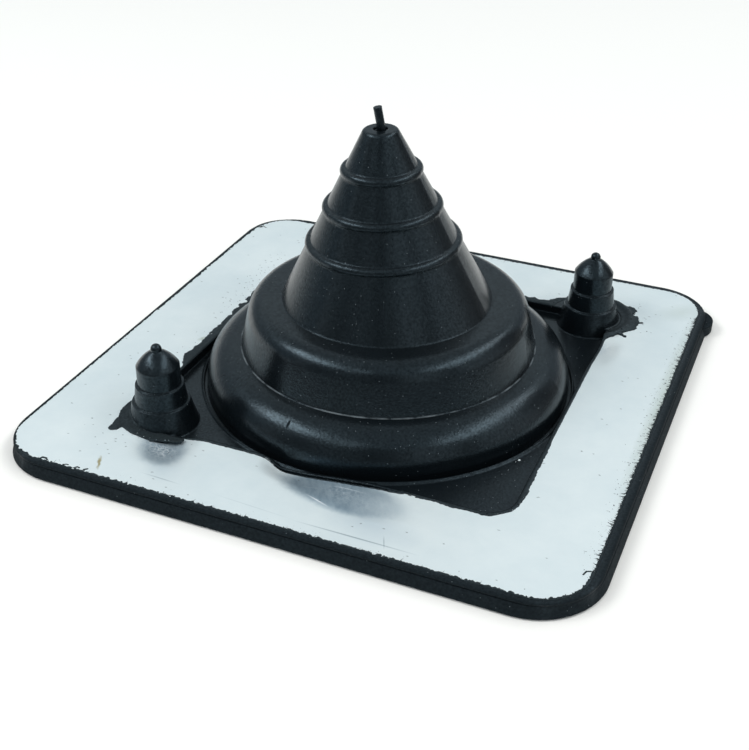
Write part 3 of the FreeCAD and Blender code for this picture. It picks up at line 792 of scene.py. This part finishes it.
def sheet_height(x, y, inside):
    """The sheet's top: level, dented, a little wavy, and crinkled round the dents."""
    waves = WAVE_DEPTH * tearing(x, y, WAVE_SIZE, layer=50)
    folds = np.zeros(x.shape)
    rough = 1 - np.abs(tearing(x, y, CRINKLE_SIZE, layer=61))
    for start, end, reach, depth in CRINKLES:
        folds += depth * rough * ease(1 - to_line(x, y, start, end) / reach)
    on_rubber = OVERLAP_LIFT * ease((OVERLAP_RADIUS - to_point(x, y, LEFT_NIPPLE)) / OVERLAP_FADE)
    return SHEET_TOP - dent_depth(x, y) + (waves - folds) * ease(inside / CALM_EDGE) + on_rubber


sheet_mesh = cut_skin("dented_flange_sheet", sheet_field, SHEET_BOX, SHEET_CELL, sheet_height,
                      SHEET_THICKNESS)
sheet = add_piece("dented_flange_sheet", sheet_mesh, sheet_metal)
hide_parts("aluminium_flange")

# %% [markdown]
# ## Torn flash along the sheet's edges
#
# In the mould, rubber creeps over the sheet's edges as a paper-thin skin, the flash, and it is torn off
# by hand. What stays is a ragged black edge with teeth, tabs, wings and loose crumbs. A painted edge
# would have no thickness, and a bevelled strip would be too even. Rays cast down onto the seal lay each
# skin on whatever is below it.

# %% What the flash lies on
RAY_START, RAY_LENGTH = 6.0, 7.0
FLASH_LIFT, FLASH_THINNING = 0.01, 0.3


def skin_of(mesh):
    """A mesh ready to be hit by rays, in mm."""
    return BVHTree.FromPolygons([v.co / MM for v in mesh.vertices],
                                [tuple(p.vertices) for p in mesh.polygons])


seal_skins = [skin_of(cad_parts["rubber_boot"].data), skin_of(sheet_mesh)]


def top_of_seal(x, y):
    """The height of the seal's upper side at a place on its pad. Only faces that look up count."""
    start = Vector((x, y, RAY_START))
    hits = [tree.ray_cast(start, Vector((0, 0, -1)), RAY_LENGTH) for tree in seal_skins]
    return max([hit[0].z for hit in hits if hit[0] is not None and hit[1].z > 0], default=SHEET_TOP)


def flash_height(thickness):
    """A height function for a skin that lies on the seal and thins out at its torn edge."""
    def height(x, y, inside):
        bed = np.array([top_of_seal(a, b) for a, b in zip(x, y)])
        return bed + FLASH_LIFT + thickness * np.clip(inside / FLASH_THINNING, 0, 1) ** 0.5
    return height


def widths(x, y, least, runs):
    """How far the flash reaches: the least width, and more along each run (start, end, width, fade)."""
    reach = np.full(x.shape, least, float)
    for start, end, width, fade in runs:
        reach = np.maximum(reach, least + (width - least) * ease(1 - to_line(x, y, start, end) / fade))
    return reach


print("rays hit", len(seal_skins), "skins")

# %% [markdown]
# ### Round the outside of the sheet
#
# The front edge has the most teeth, the right edge a fine fuzz, and the back edges are almost clean.
# A few thin shreds have curled in over the sheet.

# %% Outer flash, in mm
OUTER_LEAST, OUTER_LAP = 0.12, 0.22
OUTER_BAND = (-2.6, 0.6)
OUTER_BOX = (-56, -56, 55.2, 55.6)
OUTER_CELL, OUTER_TOP, OUTER_THICKNESS = 0.14, 0.14, 0.24
outer_runs = [((-50, -55), (50, -55), 0.36, 3.0), ((-53, -51), (-48, -55), 0.45, 2.5),
              ((50, -53.5), (54.2, -46), 0.4, 3.0), ((-55.4, 3), (-55.4, 42), 0.3, 3.0),
              ((-55.2, 44), (-52.5, 50), 0.55, 4.0)]
# Each piece of a curled shred is a start, an end and half its width.
outer_curls = [((-45.6, -54.8), (-45.3, -54.3), 0.2), ((-45.3, -54.3), (-44.6, -54.3), 0.24),
               ((-44.6, -54.3), (-44.1, -54.6), 0.17), ((-40.6, -54.8), (-40.1, -54.4), 0.15),
               ((-40.1, -54.4), (-39.7, -54.4), 0.12), ((-38.2, -54.8), (-37.8, -54.3), 0.17),
               ((-37.8, -54.3), (-37.3, -54.4), 0.14), ((-36.3, -54.5), (-35.8, -54.1), 0.19),
               ((53.0, -46.4), (53.3, -45.4), 0.15), ((53.3, -45.4), (53.9, -45.2), 0.15)]


def outer_flash(x, y):
    """How far a point lies inside the flash along the sheet's outer edge."""
    edge = to_outer_edge(x, y)
    depth = np.full(x.shape, -1.0)
    near = (edge > OUTER_BAND[0]) & (edge < OUTER_BAND[1])
    nx, ny, ne = x[near], y[near], edge[near]
    reach = widths(nx, ny, OUTER_LEAST, outer_runs)
    teeth = tearing(nx, ny, size=0.9, layer=3)
    fuzz = 0.19 * tearing(nx, ny, size=0.4, layer=8)
    torn = reach * (1 + teeth) + fuzz
    inside = np.minimum(ne + torn, OUTER_LAP - ne)
    ragged_edge = 0.06 * tearing(nx, ny, size=0.4, layer=9)
    for start, end, radius in outer_curls:
        inside = np.maximum(inside, radius - to_line(nx, ny, start, end) + ragged_edge)
    depth[near] = inside
    return depth


outer_mesh = cut_skin("outer_flash", outer_flash, OUTER_BOX, OUTER_CELL, flash_height(OUTER_TOP),
                      OUTER_THICKNESS)
add_piece("outer_flash", outer_mesh, torn_rubber)

# %% [markdown]
# ### Round the window
#
# The skin is widest at the left and back sides of the window and round the two nipples, where the
# mould's halves met least well. A wing and a tab stand out from the left nipple, and a spike from the
# right one.

# %% Window flash, in mm
WINDOW_LEAST = 0.06
WINDOW_BAND = (-2.8, 5.0)
COLLAR_RADIUS, COLLAR_LAP, FLOOR_LAP = 9.3, 2.2, 0.5
window_runs = [((-38.2, -13), (-38.2, 18), 2.1, 4.5), ((-38.2, 18), (-37, 37), 1.5, 5.0),
               ((-34, 38.2), (6, 38.2), 2.4, 6.0), ((6, 38.2), (24, 40), 1.3, 4.0),
               ((38.3, 30.6), (42.4, 34.5), 1.2, 3.0), ((42.4, 34.5), (40.5, 43.0), 1.7, 4.0),
               ((40.5, 43.0), (32, 45.0), 1.4, 4.0), ((-40.7, -33), (-38.5, -39), 0.35, 3.0),
               ((38.2, -34), (38.2, -16), 0.4, 4.0), ((12, -38.2), (34, -38.2), 0.3, 3.0),
               ((-22, -38.2), (-8, -38.2), 0.22, 3.0)]
# Each wing, tab or spike is a start, an end and half its width.
window_tabs = [((-39.2, -37.5), (-38.9, -41.4), 0.85), ((-37.6, -39.4), (-38.4, -41.0), 0.75),
               ((-30.5, -41.1), (-25.4, -39.6), 0.8), ((-27.0, -39.4), (-25.6, -38.9), 0.7),
               ((42.5, 37.0), (43.9, 37.9), 0.4), ((40.6, 31.4), (41.6, 30.8), 0.5),
               ((-38.4, -15.4), (-39.6, -12.6), 0.7), ((38.4, 31.4), (38.6, 29.8), 0.4)]


def on_collar(x, y):
    """Whether a place is on the level rubber collar on the outer side of a nipple."""
    found = np.zeros(x.shape, bool)
    for place in (LEFT_NIPPLE, RIGHT_NIPPLE):
        dx, dy = x - place[0], y - place[1]
        found |= (np.hypot(dx, dy) < COLLAR_RADIUS) & (dx * place[0] + dy * place[1] > 0)
    return found


def window_flash(x, y):
    """How far a point lies inside the flash along the window's edge."""
    edge = to_window(x, y)
    depth = np.full(x.shape, -1.0)
    near = (edge > WINDOW_BAND[0]) & (edge < WINDOW_BAND[1])
    nx, ny, ne = x[near], y[near], edge[near]
    reach = widths(nx, ny, WINDOW_LEAST, window_runs)
    teeth = 0.9 * tearing(nx, ny, size=2.2, layer=14)
    # Shreds are longest where the skin is wide.
    shreds = 0.16 * np.minimum(reach / 0.35, 1.4) * tearing(nx, ny, size=0.7, layer=21)
    inside = reach * (1 + teeth) + shreds - ne
    ragged_edge = 0.25 * tearing(nx, ny, size=1.1, layer=33)
    for start, end, radius in window_tabs:
        inside = np.maximum(inside, radius - to_line(nx, ny, start, end) + ragged_edge)
    depth[near] = np.minimum(inside, ne + np.where(on_collar(nx, ny), COLLAR_LAP, FLOOR_LAP))
    return depth


print("wide runs:", len(window_runs), "wings, tabs and spikes:", len(window_tabs))

# %% Make the window flash
BRIDGED_LEFT_OF, BRIDGED_BEFORE, BRIDGE_SAG = -23.5, -39.0, 0.1
CRATER_HEIGHT, CRATER_RADIUS, CRATER_WIDTH = 0.55, 8.8, 1.3
WINDOW_BOX = (-44.5, -44.5, 46.5, 47.5)
WINDOW_CELL, WINDOW_TOP, WINDOW_THICKNESS = 0.18, 0.16, 0.26


def window_flash_height(x, y, inside):
    """The skin lies on the seal, bridges the dent by the left nipple and stands up by the right one."""
    dx, dy = x - RIGHT_NIPPLE[0], y - RIGHT_NIPPLE[1]
    out = np.hypot(dx, dy)
    crater = CRATER_HEIGHT * ease(2 * dx / out) * ease(1 - np.abs(out - CRATER_RADIUS) / CRATER_WIDTH)
    laid = flash_height(WINDOW_TOP)(x, y, inside)
    by_dent = (x < BRIDGED_LEFT_OF) & (y < BRIDGED_BEFORE)
    bridged = np.where(by_dent, np.maximum(laid, SHEET_TOP - BRIDGE_SAG), laid)
    return bridged + crater


window_mesh = cut_skin("window_flash", window_flash, WINDOW_BOX, WINDOW_CELL, window_flash_height,
                       WINDOW_THICKNESS)
add_piece("window_flash", window_mesh, torn_rubber)
seal_skins.append(skin_of(window_mesh))

# %% [markdown]
# ### Crumbs and fibres
#
# Tearing the flash leaves crumbs and fine fibres of rubber on the sheet, and a few flakes of metal on
# the rubber and in the dents. A crumb is a small ragged cone, lying flat. A fibre is a thin wedge that
# points in from the sheet's edge. All are scattered with one seeded generator, so each run is the same.

# %% Shapes of scraps
CRUMB_SIDES = 7
# The underside of a scrap sinks this far into the seal, so that no gap shows below it.
SUNK = 0.03
dice = random.Random(41)


def crumb(pile, x, y, radius):
    """A low ragged cone that lies on the seal."""
    bed = top_of_seal(x, y)
    stretch, turn = dice.uniform(0.4, 1.0), dice.uniform(0, math.pi)
    rim = []
    for k in range(CRUMB_SIDES):
        angle, out = 2 * math.pi * k / CRUMB_SIDES, radius * dice.uniform(0.6, 1.2)
        u, v = out * math.cos(angle), stretch * out * math.sin(angle)
        rim.append(pile.verts.new(((x + u * math.cos(turn) - v * math.sin(turn)) * MM,
                                   (y + u * math.sin(turn) + v * math.cos(turn)) * MM,
                                   (bed - SUNK) * MM)))
    peak = pile.verts.new((x * MM, y * MM, (bed + 0.6 * radius) * MM))
    pile.faces.new(list(reversed(rim)))
    for a, b in zip(rim, rim[1:] + rim[:1]):
        pile.faces.new((a, b, peak))


def fibre(pile, x, y, turn, length, width):
    """A thin wedge of rubber that lies on the seal and points along its turn, in degrees."""
    ahead = Vector((math.cos(math.radians(turn)), math.sin(math.radians(turn)), 0))
    aside = Vector((-ahead.y, ahead.x, 0)) * width / 2
    foot = Vector((x, y, top_of_seal(x, y)))
    tip = foot + ahead * length
    tip.z = top_of_seal(tip.x, tip.y) + SUNK
    low = Vector((0, 0, SUNK))
    corners = (foot + aside - low, foot - aside - low, foot + low * 3, tip)
    ends = [pile.verts.new(p * MM) for p in corners]
    for a, b, c in ((0, 1, 2), (0, 2, 3), (1, 3, 2), (0, 3, 1)):
        pile.faces.new((ends[a], ends[b], ends[c]))


def add_pile(name, pile, finish):
    """Turns a pile of scraps into one piece."""
    bmesh.ops.recalc_face_normals(pile, faces=pile.faces)
    mesh = bpy.data.meshes.new(name)
    pile.to_mesh(mesh)
    pile.free()
    add_piece(name, mesh, finish)


print("a crumb has", CRUMB_SIDES, "sides")

# %% Crumbs and fibres of torn rubber
# A crumb field is a start, an end, how far crumbs stray from it and their count. A fibre edge is a
# start, an end, the heading that points in over the sheet and a count.
crumb_fields = [((-41.5, -14), (-42.5, 36), 1.3, 70), ((53.6, -46), (53.6, 45), 0.9, 420),
                ((-50, -53.8), (50, -53.8), 0.6, 30), ((-41, -41), (-24, -42.5), 1.2, 14),
                ((44.5, 32), (43, 46), 1.2, 14), ((-30, 42), (28, 42.5), 1.4, 40)]
fibre_edges = [((54.4, -46), (54.4, 45), 180, 300), ((-50, -55.1), (50, -55.1), 90, 120),
               ((-44, 54.6), (45, 54.6), 270, 50), ((-55.4, 30), (-55.4, 44), 0, 12)]
CLEAR_OF_EDGE, CLEAR_OF_WINDOW = 0.4, 0.3
FIBRE_STRAY = 32
TUFT_PLACE, TUFT_STRAY, TUFT_COUNT = (-53.9, 48.1), 0.3, 14


def on_run(start, end, share):
    """A place at a share of the way from start to end."""
    return start[0] + share * (end[0] - start[0]), start[1] + share * (end[1] - start[1])


rubber_scraps = bmesh.new()
for start, end, stray, count in crumb_fields:
    for _ in range(count):
        x, y = on_run(start, end, dice.random())
        x += dice.gauss(0, stray)
        y += dice.gauss(0, stray)
        if to_outer_edge(x, y) < -CLEAR_OF_EDGE and to_window(x, y) > CLEAR_OF_WINDOW:
            crumb(rubber_scraps, x, y, 0.04 + 0.14 * dice.random() ** 2)
for start, end, inward, count in fibre_edges:
    for _ in range(count):
        x, y = on_run(start, end, dice.random())
        turn = inward + dice.gauss(0, FIBRE_STRAY)
        length = dice.uniform(0.2, 0.5) + 0.8 * dice.random() ** 4
        fibre(rubber_scraps, x, y, turn, length, dice.uniform(0.05, 0.11))
for _ in range(TUFT_COUNT):
    x = dice.gauss(TUFT_PLACE[0], TUFT_STRAY)
    y = dice.gauss(TUFT_PLACE[1], TUFT_STRAY)
    turn = dice.uniform(0, 360)
    length = dice.uniform(0.5, 1.3)
    fibre(rubber_scraps, x, y, turn, length, dice.uniform(0.08, 0.2))
add_pile("rubber_scraps", rubber_scraps, torn_rubber)

# %% Flakes of metal
# Each flake is a place and a radius.
flakes = [(33.8, -18.4, 0.35), (33.4, -19.2, 0.2), (-33.6, -41.2, 0.14), (-32.0, -41.5, 0.12),
          (-29.4, -41.4, 0.13), (-27.8, -40.8, 0.16), (-30.8, -41.3, 0.1), (-27.2, -40.6, 0.1),
          (13.0, -41.3, 0.14), (12.5, -44.0, 0.12), (2.4, -41.8, 0.12)]
metal_flakes = bmesh.new()
for x, y, radius in flakes:
    crumb(metal_flakes, x, y, radius)
add_pile("metal_flakes", metal_flakes, sheet_metal)
